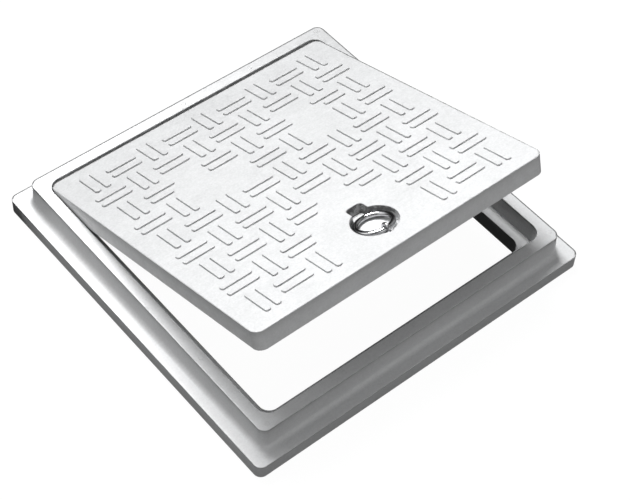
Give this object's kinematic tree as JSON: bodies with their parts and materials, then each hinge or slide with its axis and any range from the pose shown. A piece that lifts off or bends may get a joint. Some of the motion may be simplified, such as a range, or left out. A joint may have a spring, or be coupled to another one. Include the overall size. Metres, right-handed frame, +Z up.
{
  "type": "manhole cover and frame",
  "caption": "Square grey composite manhole cover with basket-weave tread and a steel lifting ring, tilted open in its flanged frame.",
  "frame": {"origin": "centre of the frame's underside, on the ground", "axes": "+Z up, +X along the cover's tilt axis, +Y towards the edge that the cover tilts about, so the raised edge with the lifting ring is at -Y"},
  "size_m": [0.755, 0.755, 0.2711],
  "materials": {
    "frame_composite": "satin",
    "cover_composite": "satin",
    "polished_steel": "polished",
    "zinc_steel": "satin"
  },
  "bodies": {
    "frame": {"frame": "frame_composite"},
    "cover": {"cover": "cover_composite", "eye_bolt": "polished_steel", "plain_washer": "zinc_steel", "spring_washer": "zinc_steel", "hex_nut": "zinc_steel"},
    "ring": {"lifting_ring": "polished_steel"}
  },
  "joints": [
    {"name": "cover_tilt", "type": "hinge", "parent": "frame", "child": "cover", "pos_m": [0, 0.3158, 0.0757], "axis": [-1, 0, 0], "range_deg": [-17.85, 72.15]},
    {"name": "ring_swing", "type": "hinge", "parent": "cover", "child": "ring", "pos_m": [0, -0.24111, 0.25252], "axis": [1, 0, 0], "range_deg": [0, 120]}
  ]
}
